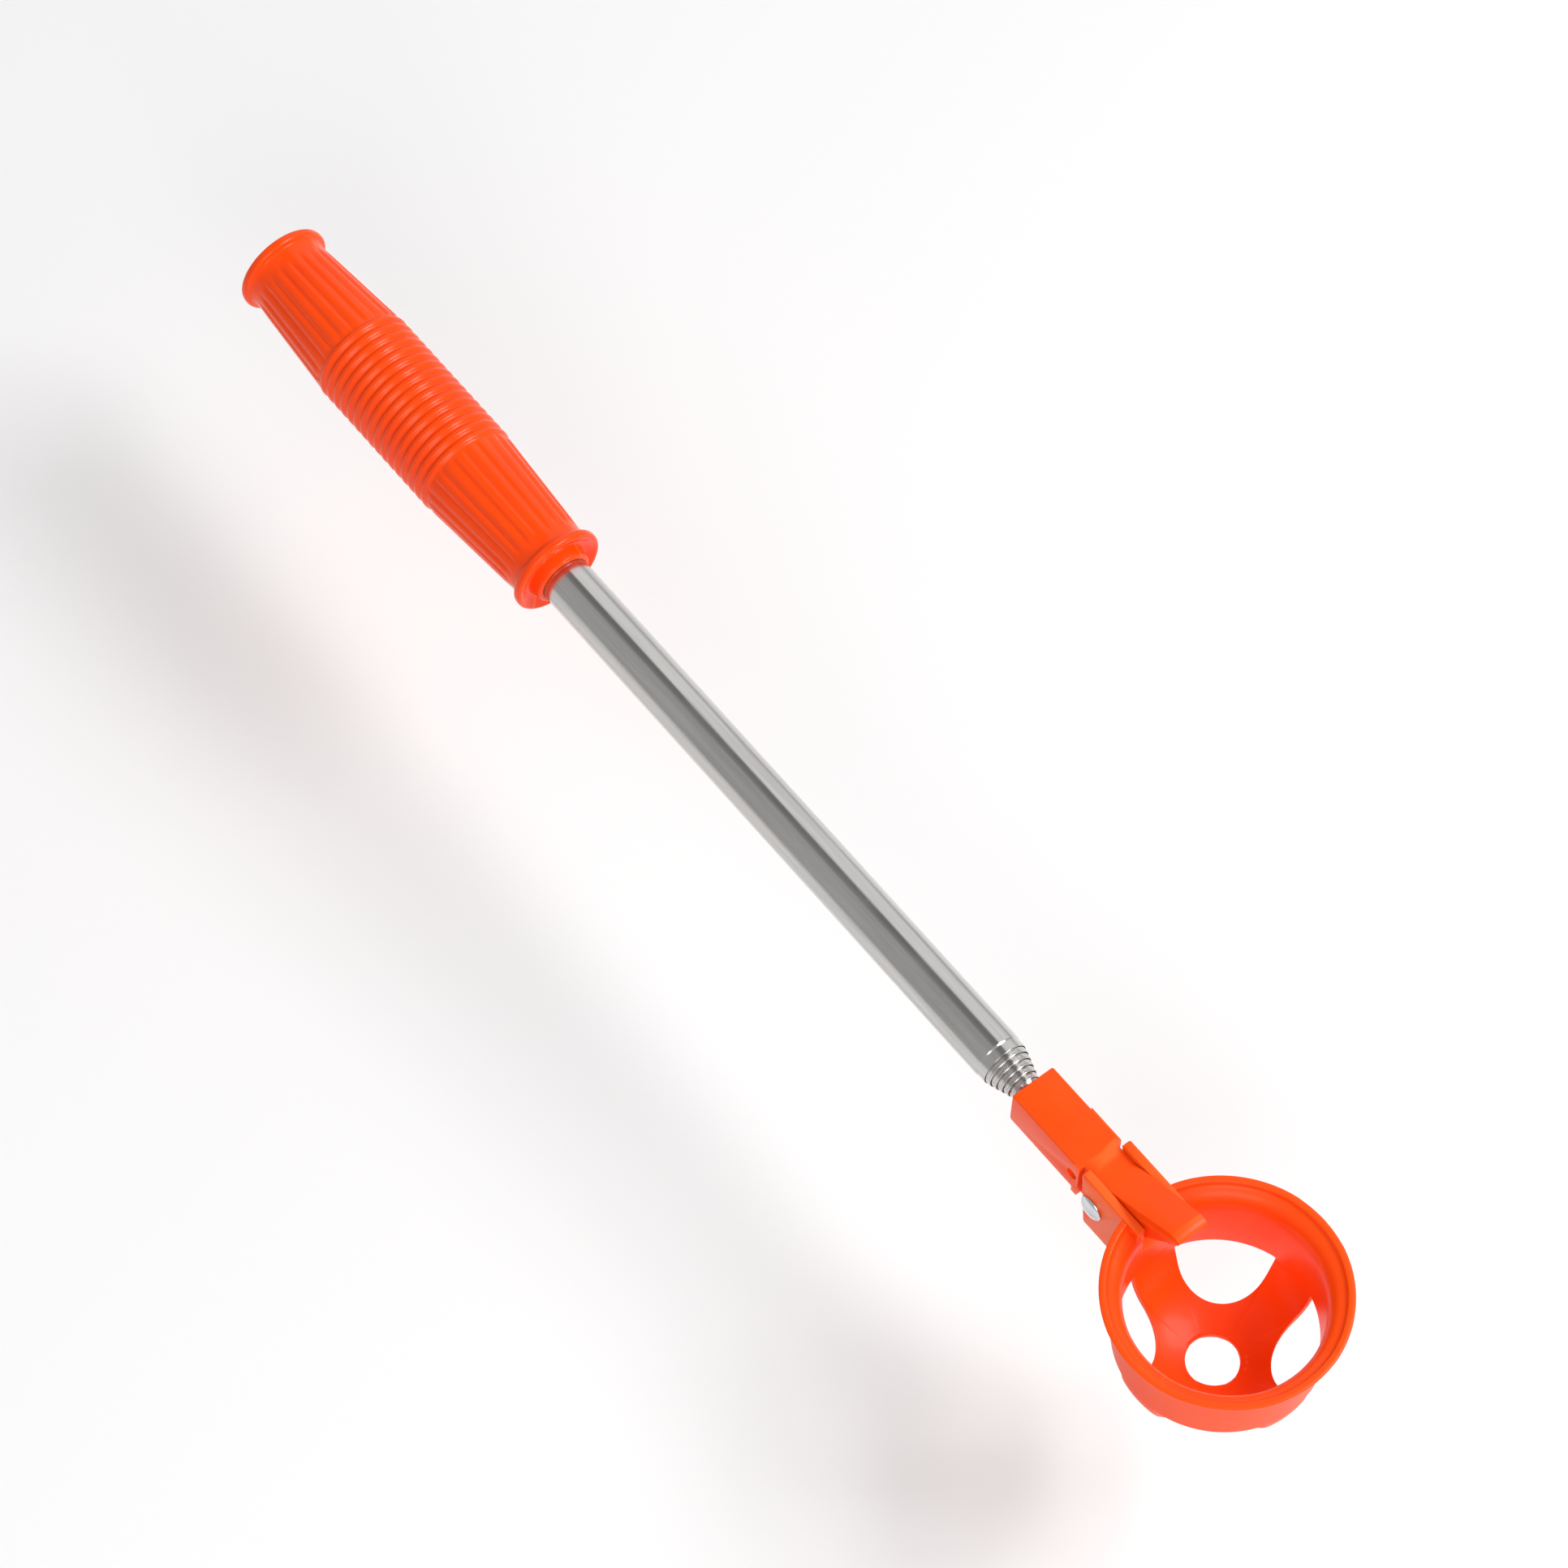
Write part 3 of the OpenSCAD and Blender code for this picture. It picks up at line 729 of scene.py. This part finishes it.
@dataclass
class Neck:
    """Moulded neck: barrel, block with pockets, hinge zone and wedge tongue."""

    back_radius: float = 7.0 * MM
    barrel_length: float = 14.9 * MM
    land: float = 6.5 * MM
    land_round: float = 0.45 * MM
    side_round: float = 2.5 * MM
    block_half: float = 6.8 * MM
    block_height: float = 14.1 * MM
    drop: float = 2.0 * MM
    shoulder: float = 6.8 * MM
    hinge_half: float = 5.2 * MM
    pocket_past: float = 2.0 * MM
    slot_wall: float = 1.4 * MM
    slot_end: float = -3.8 * MM
    dent: float = 1.7 * MM
    dent_depth: float = 0.9 * MM
    wall: float = 2.0 * MM
    tongue_half: float = 4.6 * MM
    tongue_taper: float = 0.1
    reach: float = 28.9 * MM
    rise_deg: float = 26.0
    bead: float = 2.6 * MM
    under_x: float = 6.7 * MM
    tongue_wall: float = 2.2 * MM
    pocket_back: float = 9.5 * MM
    pocket_lean_deg: float = -32.0
    pocket_round: float = 0.6 * MM
    boss_radius: float = 2.9 * MM
    boss_height: float = 1.0 * MM
    pin_at: float = 7.0 * MM
    bore_depth: float = 13.4 * MM
    edge: float = 0.32 * MM
    corner: float = 0.5 * MM

    @property
    def top(self) -> float:
        """Height of the block's top above the hinge."""
        return self.drop + self.block_height / 2

    @property
    def bottom(self) -> float:
        """Height of the block's underside above the hinge."""
        return self.drop - self.block_height / 2

    @property
    def bead_top(self) -> Point:
        """Where the tongue's top edge turns down into its bead."""
        x = self.reach - 1.8 * self.bead
        return (x, self.top + x * tan(radians(self.rise_deg)))

    @property
    def bead_low(self) -> Point:
        """Lower corner of the tongue's hooked bead."""
        x, z = self.bead_top
        return (x + 0.8 * self.bead, z - self.bead)

    def _back(self, start: float, end: float, top: float) -> bpy.types.Object:
        """Neck from the pole to the shoulder: round on its +Y side, flat on its -Y side and its top."""
        r = self.back_radius
        meet = asin(self.land / r)
        arc = [(r * sin(a), -r * cos(a)) for a in sweep(pi - meet, 36)]
        ends = [(*arc[0], 0.0), (*arc[-1], 0.0)]
        lands = [(self.land, top, self.land_round), (-self.block_half, top, self.land_round)]
        flat = rounded_outline([*ends, *lands, (-self.block_half, -r, self.side_round)])
        ring = [*arc, *flat[len(ends) :]]
        n = len(ring)
        stations = [(0.0, 0.93), (0.05, 0.955), (0.15, 0.975), (0.35, 0.992), (0.6, 1.0)]
        places = [(start + x * MM, s) for x, s in stations] + [(end, 1.0)]
        vertices = [(x, y * s, z * s) for x, s in places for y, z in ring]
        caps = [tuple(range(n)), tuple(range(len(vertices) - 1, len(vertices) - n - 1, -1))]
        return new_piece("neck_moulding", vertices, [*quads(len(places), n), *caps])

    def _tongue_outline(self) -> list[Point]:
        """Side outline of the tongue from the hinge to its hooked bead."""
        root = -3.0 * MM
        return rounded_outline(
            [
                (root, self.top, 0.0),
                (0.0, self.top, 0.0),
                (*self.bead_top, 3.0 * MM),
                (self.reach, self.bead_top[1] - 0.35 * self.bead, 1.1 * MM),
                (*self.bead_low, 0.7 * MM),
                (self.under_x, self.bottom, 2.0 * MM),
                (root, self.bottom, 0.0),
            ]
        )

    def _tongue_pocket(self) -> list[Point]:
        """Three-cornered pocket that leaves an even wall along both edges."""
        rise, wall = radians(self.rise_deg), self.tongue_wall
        under = atan2(self.bead_low[1] - self.bottom, self.bead_low[0] - self.under_x)
        top = Vector((0.0, self.top - wall / cos(rise)))
        low = Vector((self.under_x - wall * sin(under), self.bottom + wall * cos(under)))
        rear_angle = radians(self.pocket_lean_deg)
        rear = self.pocket_back * Vector((-sin(rear_angle), cos(rear_angle)))
        a = self._meet(top, rise, rear, rear_angle)
        b = self._meet(rear, rear_angle, low, under)
        c = self._meet(top, rise, low, under)
        return rounded_outline([(*point, self.pocket_round) for point in (a, c, b)])

    @staticmethod
    def _meet(p: Vector, a: float, q: Vector, b: float) -> Vector:
        """Where the line through p at angle a meets the line through q at angle b."""
        t = ((q.x - p.x) * sin(b) - (q.y - p.y) * cos(b)) / sin(b - a)
        return p + t * Vector((cos(a), sin(a)))

    def _opening(self, rear: float, front: float, top: float, corner: float) -> list[Point]:
        """Outline of a four-cornered pocket that stands a wall above the underside."""
        low = self.bottom + self.wall
        corners = [(rear, low), (front, low), (front, top), (rear, top)]
        return rounded_outline([(*point, corner) for point in corners])

    def _cut_pocket(self, piece: bpy.types.Object, outline: Sequence[Point], hinge: Vector) -> None:
        """Cuts a pocket in from the open +Y side, to just past the middle."""
        combine(piece, prism("pocket", outline, -self.pocket_past, 9.0 * MM, hinge), "DIFFERENCE")

    def _boss(self, start: float) -> bpy.types.Object:
        """Low dome that covers the end of the neck pin."""
        rows, columns, sunk = 6, 32, 0.6 * MM
        base = self.back_radius - sunk
        vertices = []
        for i in range(rows + 1):
            a = pi / 2 * i / rows
            r, h = self.boss_radius * cos(a), (self.boss_height + sunk) * sin(a)
            for j in range(columns):
                b = 2 * pi * j / columns
                vertices.append((start + self.pin_at + r * cos(b), base + h, r * sin(b)))
        return new_piece("boss", vertices, [*quads(rows + 1, columns), tuple(range(columns))])

    def _block_outline(self, rear: float) -> list[Point]:
        """Side outline of the block from rear to the shoulder."""
        front = -self.shoulder
        return [(rear, self.bottom), (front, self.bottom), (front, self.top), (rear, self.top)]

    def build(self, paints: Paintbox) -> list[bpy.types.Object]:
        """Builds the neck's one moulding and paints its pin."""
        hinge = Vector(joint("cup_hinge")["pos_m"])
        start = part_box("neck")[0].x
        block_from = start + self.barrel_length - hinge.x
        piece = self._back(start, hinge.x - self.shoulder, hinge.z + self.top)
        block = self._block_outline(block_from)
        plate = self._block_outline(-self.shoulder - self.wall)
        zone = rounded_outline(
            [
                (-self.shoulder - 1 * MM, self.bottom, 0.0),
                (6.0 * MM, self.bottom, 2.0 * MM),
                (6.0 * MM, self.top - 1.0 * MM, 2.0 * MM),
                (0.0, self.top, 0.0),
                (-self.shoulder - 1 * MM, self.top, 0.0),
            ]
        )
        tongue = prism("tongue", self._tongue_outline(), -self.tongue_half, self.tongue_half, hinge)
        for vertex in tongue.data.vertices:
            along = (vertex.co.x - hinge.x) / self.reach
            vertex.co.y *= 1.0 + self.tongue_taper * (1.0 - min(1.0, max(0.0, along)))
        combine(piece, prism("block", block, 0.5 * MM, self.block_half, hinge), "UNION")
        combine(piece, prism("plate", plate, -self.block_half, self.block_half, hinge), "UNION")
        combine(piece, prism("zone", zone, -self.hinge_half, self.hinge_half, hinge), "UNION")
        combine(piece, tongue, "UNION")
        w, roof = self.wall, 0.4 * MM
        window = self._opening(block_from + w, -self.shoulder - w, self.top - w - roof, self.corner)
        slot = self._opening(-self.shoulder + self.slot_wall, self.slot_end, self.top - w, 0.8 * self.corner)
        for pocket in (window, self._tongue_pocket(), slot):
            self._cut_pocket(piece, pocket, hinge)
        dent_at = hinge + Vector((-self.shoulder - self.dent - 0.8 * MM, -self.block_half, 3.0 * MM))
        dent = cylinder_y("dent", self.dent, -self.dent_depth, self.dent_depth, dent_at)
        combine(piece, dent, "DIFFERENCE")
        bevel(piece, self.edge, 3, 42.0)
        combine(piece, self._boss(start), "UNION")
        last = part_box("outer_tube")[1].z - 6 * Pole.step
        combine(piece, cylinder_x("bore", last, start - 1 * MM, start + self.bore_depth), "DIFFERENCE")
        combine(piece, cylinder_y("hole", 2.05 * MM, -9 * MM, 9 * MM, hinge), "DIFFERENCE")
        smooth(piece, 38.0)
        paints.paint(piece, Finish.HEAD)
        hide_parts("neck")
        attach(piece, "head")
        paints.paint(frame["nodes"]["neck_pin"], Finish.RIVET)
        return [piece]


# ---------------------------------------------------------------- picking cup


@dataclass
class PickingCup:
    """Moulded cup with ears, flared rim, side windows and a drain hole."""

    rim: float = 31.7 * MM
    radius: float = 27.2 * MM
    wall: float = 1.9 * MM
    depth: float = 43.5 * MM
    straight: float = 24.5 * MM
    flare: float = 4.6 * MM
    lip: float = 1.9 * MM
    drain: float = 6.9 * MM
    window_near: float = 14.5 * MM
    window_radius: float = 13.6 * MM
    rim_above: float = 11.2 * MM
    ear_top: float = 11.2 * MM
    reach: float = 41.2 * MM
    ear_in: float = 5.4 * MM
    ear_thick: float = 2.4 * MM
    ear_height: float = 22.2 * MM
    ear_back: float = 3.7 * MM
    ear_slant_deg: float = 7.0
    slot_depth: float = 12.0 * MM
    support: float = 0.45 * MM

    def _profile(self, inset: float) -> list[Point]:
        """Radius and height of one surface: lip, flare and straight wall."""
        inner = inset > 0
        edge = self.rim - (self.lip if inner else 0.0)
        points = [(edge, -0.35 * MM), (edge, -0.8 * MM), (edge - (0.35 * MM if inner else 0.0), -1.7 * MM)]
        top, start = points[-1]
        foot = self.radius - inset
        for k in range(1, 6):
            t = k / 5
            points.append((foot + (top - foot) * (1 - t) ** 1.7, start - self.flare * (0.35 + 0.9 * t) * t))
        low, straight = points[-1][1], -self.straight
        for t in (0.3, 0.65, 0.9):
            points.append((foot, low + (straight - low) * t))
        return [*points, (foot, straight + self.support), (foot, straight)]

    def _dome(self, inset: float, r: float) -> float:
        """Height of the dome's surface at a radius."""
        share = min(1.0, r / (self.radius - inset))
        return -self.straight - (self.depth - self.straight - inset) * sqrt(max(0.0, 1 - share * share))

    def _columns(self) -> list[tuple[float, Optional[float]]]:
        """Angles round the cup, each with the radius at which its window ends, or None on a rib."""
        centre = self.window_near + self.window_radius
        inner = self.radius - self.wall
        half = []
        for k in range(8):
            psi = radians(68.0) * k / 7
            x, y = centre - self.window_radius * cos(psi), self.window_radius * sin(psi)
            half.append((atan2(y, x), hypot(x, y)))
        half = [(a, r) for a, r in half if r < inner - 1.2 * MM]
        corner = asin(min(1.0, self.window_radius / centre)) + radians(0.5)
        columns: list[tuple[float, Optional[float]]] = []
        for quarter in range(4):
            mid = pi / 4 + quarter * pi / 2
            columns += [(mid - a, r) for a, r in reversed(half[1:])]
            columns += [(mid + a, r) for a, r in half]
            columns.append((mid + corner, None))
            gap = pi / 2 - 2 * corner
            columns += [(mid + corner + gap * t, None) for t in (0.2, 0.4, 0.6, 0.8, 1.0)]
        return columns

    def _shell(self, centre: Vector) -> bpy.types.Object:
        """Cup without its ears, as a closed mesh that a subdivision then rounds."""
        columns = self._columns()
        n = len(columns)
        vertices: list[Vector] = []
        grids = []
        for inset in (0.0, self.wall):
            wall_rows, dome_rows = [], []
            profile = self._profile(inset)
            for r, z in profile:
                wall_rows.append(list(range(len(vertices), len(vertices) + n)))
                vertices += [centre + Vector((r * cos(a), r * sin(a), z)) for a, _ in columns]
            top = self.radius - inset
            shares = (0.0, 0.05, 0.15, 0.32, 0.5, 0.68, 0.84, 0.95, 1.0)
            for share in shares:
                row = []
                for j, (a, edge) in enumerate(columns):
                    if share == 0.0 and edge is None:
                        row.append(wall_rows[-1][j])
                        continue
                    bend = acos(min(1.0, self.drain / top))
                    begin = 0.0 if edge is None else acos(min(1.0, edge / top))
                    bent = begin + (bend - begin) * share
                    r = top * cos(bent)
                    row.append(len(vertices))
                    vertices.append(centre + Vector((r * cos(a), r * sin(a), self._dome(inset, r))))
                dome_rows.append(row)
            grids.append((wall_rows, dome_rows))
        faces: list[Sequence[int]] = []
        for wall_rows, dome_rows in grids:
            for rows in (wall_rows, dome_rows):
                for upper, lower in zip(rows, rows[1:]):
                    for j in range(n):
                        m = (j + 1) % n
                        faces.append((upper[j], upper[m], lower[m], lower[j]))
        (outer_wall, outer_dome), (inner_wall, inner_dome) = grids
        for j in range(n):
            m = (j + 1) % n
            faces.append((outer_wall[0][j], outer_wall[0][m], inner_wall[0][m], inner_wall[0][j]))
            faces.append((outer_dome[-1][j], outer_dome[-1][m], inner_dome[-1][m], inner_dome[-1][j]))
            if columns[j][1] is None and columns[m][1] is None:
                continue
            faces.append((outer_wall[-1][j], outer_wall[-1][m], inner_wall[-1][m], inner_wall[-1][j]))
            faces.append((outer_dome[0][j], outer_dome[0][m], inner_dome[0][m], inner_dome[0][j]))
        piece = new_piece("cup_moulding", vertices, faces)
        round_off = piece.modifiers.new("round", "SUBSURF")
        round_off.levels = round_off.render_levels = 2
        bake_modifiers(piece)
        return piece

    def build(self, paints: Paintbox) -> list[bpy.types.Object]:
        """Builds the cup's one moulding."""
        hinge = Vector(joint("cup_hinge")["pos_m"])
        centre = hinge + Vector((self.reach, 0.0, self.rim_above))
        piece = self._shell(centre)
        lean = tan(radians(self.ear_slant_deg))
        low = self.ear_top - self.ear_height
        ear_out = self.ear_in + self.ear_thick
        root = self.reach - sqrt((self.radius - 0.6 * self.wall) ** 2 - ear_out**2)
        outline = rounded_outline(
            [
                (-self.ear_back - lean * self.ear_top, self.ear_top, 0.8 * MM),
                (-self.ear_back - lean * low, low, 0.8 * MM),
                (root, low, 0.0),
                (root, self.ear_top, 0.0),
            ]
        )
        ears = prism("ears", outline, -ear_out, ear_out, hinge)
        bevel(ears, 0.4 * MM, 3, 50.0)
        combine(piece, ears, "UNION")
        floor = self.rim_above - self.slot_depth
        mouth, front, past = 4 * MM, self.reach - self.radius + 4 * MM, 30 * MM
        rear = [(-20 * MM, past), (-20 * MM, -past)]
        cut = [*rear, (mouth, -past), (mouth, floor), (front, floor), (front, past)]
        combine(piece, prism("slot", cut, -self.ear_in, self.ear_in, hinge), "DIFFERENCE")
        combine(piece, cylinder_y("hole", 2.0 * MM, -12 * MM, 12 * MM, hinge), "DIFFERENCE")
        bevel(piece, 0.22 * MM, 2, 55.0)
        smooth(piece, 40.0)
        paints.paint(piece, Finish.HEAD)
        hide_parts("cup")
        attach(piece, "picking_cup")
        return [piece]


# ---------------------------------------------------------------- rivet


@dataclass
class Rivet:
    """Hinge rivet with a domed head, a star-clenched tubular end and a washer."""

    shank: float = 2.0 * MM
    head: float = 3.7 * MM
    head_height: float = 1.5 * MM
    ear_face: float = 7.8 * MM
    washer: float = 0.5 * MM
    clench: float = 2.66 * MM
    clench_height: float = 1.2 * MM
    hollow: float = 1.2 * MM
    points: int = 6
    point_depth: float = 0.25 * MM
    point_at: float = 1.7 * MM
    point_half: float = 0.8 * MM

    def _turned(self, name: str, outline: Sequence[Point], hinge: Vector) -> bpy.types.Object:
        """Turns an outline of Y and radius about the hinge's axis, with a star past the washer.

        Args:
            name: The piece's name.
            outline: Closed outline of place along Y and radius.
            hinge: Centre of the hinge.

        Returns:
            The turned piece.
        """
        piece = turned_x(name, outline, 96)
        for vertex in piece.data.vertices:
            along, r = vertex.co.x, hypot(vertex.co.y, vertex.co.z)
            if along > self.ear_face + self.washer and r > self.hollow / 2:
                turn = atan2(vertex.co.z, vertex.co.y)
                near = max(0.0, 1.0 - abs(r - self.point_at) / self.point_half)
                along -= self.point_depth * near * max(0.0, cos(self.points * turn)) ** 3
            vertex.co = (hinge.x + vertex.co.y, hinge.y + along, hinge.z + vertex.co.z)
        piece.data.flip_normals()
        return piece

    def build(self, paints: Paintbox) -> list[bpy.types.Object]:
        """Builds the rivet and its washer."""
        hinge = Vector(joint("cup_hinge")["pos_m"])
        face, seat, foot = -self.ear_face, self.ear_face + self.washer, 0.12 * MM
        dome = [
            (face - foot - (self.head_height - foot) * cos(a), self.head * sin(a))
            for a in sweep(pi / 2, 12)
        ]
        roll = self.clench_height / 2
        lip = [
            (seat + roll * (1 - cos(a)), self.clench - roll * (1 - sin(a)))
            for a in sweep(pi, 12)
        ]
        mouth = seat + self.clench_height
        throat = [
            (mouth - 0.5 * MM * (1 - cos(a)), self.hollow + 0.4 * MM * (1 - sin(a)))
            for a in sweep(pi / 2, 5, 1)
        ]
        pit = [(seat - 1.9 * MM, self.hollow), (seat - 2.0 * MM, 0.0)]
        shank = [(face, self.head - 0.05 * MM), (face, self.shank), (seat, self.shank)]
        rivet = self._turned("rivet_clenched", [*dome, *shank, *lip, *throat, *pit], hinge)
        low, high, edge = self.ear_face, seat, 0.08 * MM
        ring = [
            (low, self.shank),
            (low, self.head - edge),
            (low + edge, self.head),
            (high - edge, self.head),
            (high, self.head - edge),
            (high, self.shank),
        ]
        washer = self._turned("washer_ring", ring, hinge)
        for piece, node in ((rivet, "rivet"), (washer, "rivet_washer")):
            smooth(piece, 35.0)
            paints.paint(piece, Finish.RIVET)
            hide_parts(node)
            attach(piece, "picking_cup")
        return [rivet, washer]


# ---------------------------------------------------------------- studio


@dataclass
class Viewpoint:
    """Camera as a target, a direction of view, a roll, a distance and a lens."""

    target: Corner = (0.14727, 0.00673, 0.00007)
    azimuth_deg: float = -41.51
    elevation_deg: float = 60.31
    roll_deg: float = 3.25
    distance: float = 1.5686
    lens: float = 140.0

    def build(self) -> bpy.types.Object:
        """Makes the scene's camera."""
        az, el = radians(self.azimuth_deg), radians(self.elevation_deg)
        away = Vector((cos(el) * cos(az), cos(el) * sin(az), sin(el)))
        roll = Matrix.Rotation(radians(self.roll_deg), 3, "Z").to_quaternion()
        turn = (away.to_track_quat("Z", "Y") @ roll).to_matrix().to_4x4()
        data = bpy.data.cameras.new("camera")
        data.lens = self.lens
        data.clip_start, data.clip_end = 0.01, 50.0
        camera = bpy.data.objects.new("camera", data)
        camera.matrix_world = Matrix.Translation(Vector(self.target) + away * self.distance) @ turn
        bpy.context.scene.collection.objects.link(camera)
        bpy.context.scene.camera = camera
        return camera


@dataclass(frozen=True)
class Softbox:
    """One rectangular light, placed from the object's middle, which it faces."""

    name: str
    offset: Corner
    size: Point
    power: float

    def build(self, target: Vector) -> None:
        """Makes the light."""
        data = bpy.data.lights.new(self.name, "AREA")
        data.shape = "RECTANGLE"
        data.size, data.size_y = self.size
        data.energy = self.power
        lamp = bpy.data.objects.new(self.name, data)
        offset = Vector(self.offset)
        turn = offset.to_track_quat("Z", "Y").to_matrix().to_4x4()
        lamp.matrix_world = Matrix.Translation(target + offset) @ turn
        bpy.context.scene.collection.objects.link(lamp)


@dataclass
class Studio:
    """Pale floor, soft lights and a grey surround."""

    floor_size: float = 12.0
    drop: float = 0.062
    surround: float = 1.0
    front_glow: float = 0.5
    bands: tuple[Point, ...] = (
        (-180, 0.45),
        (-92, 0.45),
        (-60, 0.5),
        (-12, 0.45),
        (-4, 0.27),
        (20, 0.17),
        (25, 0.95),
        (72, 0.95),
        (92, 0.5),
        (180, 0.45),
    )
    softboxes: tuple[Softbox, ...] = (
        Softbox("key", (0.8, 0.95, 1.6), (0.9, 0.9), 26.0),
        Softbox("fill", (1.3, -0.9, 1.4), (1.2, 0.9), 14.0),
    )

    def _world(self) -> None:
        """Grey surround whose bands run along the pole, so that the steel mirrors them."""
        world = bpy.data.worlds.new("surround")
        world.use_nodes = True
        bpy.context.scene.world = world
        shader = Shader(world.node_tree)
        ray = shader.node("ShaderNodeTexCoord", output="Generated")
        parts = {0: ray}
        across = shader.node("ShaderNodeSeparateXYZ", {}, parts, output="Y")
        up = shader.node("ShaderNodeSeparateXYZ", {}, parts, output="Z")
        angle = shader.node("ShaderNodeMath", {"operation": "ARCTAN2"}, {0: across, 1: up})
        turn = angle * (1 / (2 * pi)) + 0.5
        stops = [(0.5 + degrees / 360, grey) for degrees, grey in self.bands]
        band = shader.node("ShaderNodeValToRGB", {"stops": stops}, {0: turn})
        front = shader.node("ShaderNodeSeparateXYZ", {}, parts, output="X").step(-0.1, 0.25)
        tone = shader.blend(front, band, (self.front_glow,) * 3)
        light = shader.node("ShaderNodeBackground", {}, {"Color": tone, "Strength": self.surround})
        end = world.node_tree.nodes.new("ShaderNodeOutputWorld")
        world.node_tree.links.new(light.socket, end.inputs["Surface"])

    def _floor(self, low: Vector) -> None:
        """Pale floor under the hanging object."""
        half = self.floor_size / 2
        corners = [(-half, -half, 0), (half, -half, 0), (half, half, 0), (-half, half, 0)]
        floor = new_piece("floor", corners, [(0, 1, 2, 3)])
        floor.location.z = low.z - self.drop
        material, shader = new_material("floor_paper")
        grain = shader.noise(shader.place(), 900.0, 3.0)
        paper = shader.bump(grain, 0.05, 0.1 * MM)
        finish_surface(shader, Base_Color=(0.87, 0.87, 0.87, 1.0), Roughness=0.8, Normal=paper)
        floor.data.materials.append(material)
        floor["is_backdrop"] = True

    def build(self, low: Vector, high: Vector) -> None:
        """Makes the floor, the surround and the lights.

        Args:
            low: Lowest corner of the object's box.
            high: Highest corner of the object's box.
        """
        bpy.context.scene.view_settings.view_transform = "Standard"
        self._world()
        self._floor(low)
        for softbox in self.softboxes:
            softbox.build((low + high) / 2)


def main() -> None:
    """Builds the pieces in order, then the studio, and keeps the two sizes."""
    logging.basicConfig(level=logging.INFO, format="%(message)s")
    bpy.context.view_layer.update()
    low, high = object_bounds()
    Viewpoint().build()
    paints = Paintbox()
    for part in (Grip(), Pole(), Neck(), PickingCup(), Rivet()):
        for piece in part.build(paints):
            LOG.info("%s: %s, %d faces", type(part).__name__, piece.name, len(piece.data.polygons))
    Studio().build(Vector(low), Vector(high))


if __name__ == "__main__":
    main()
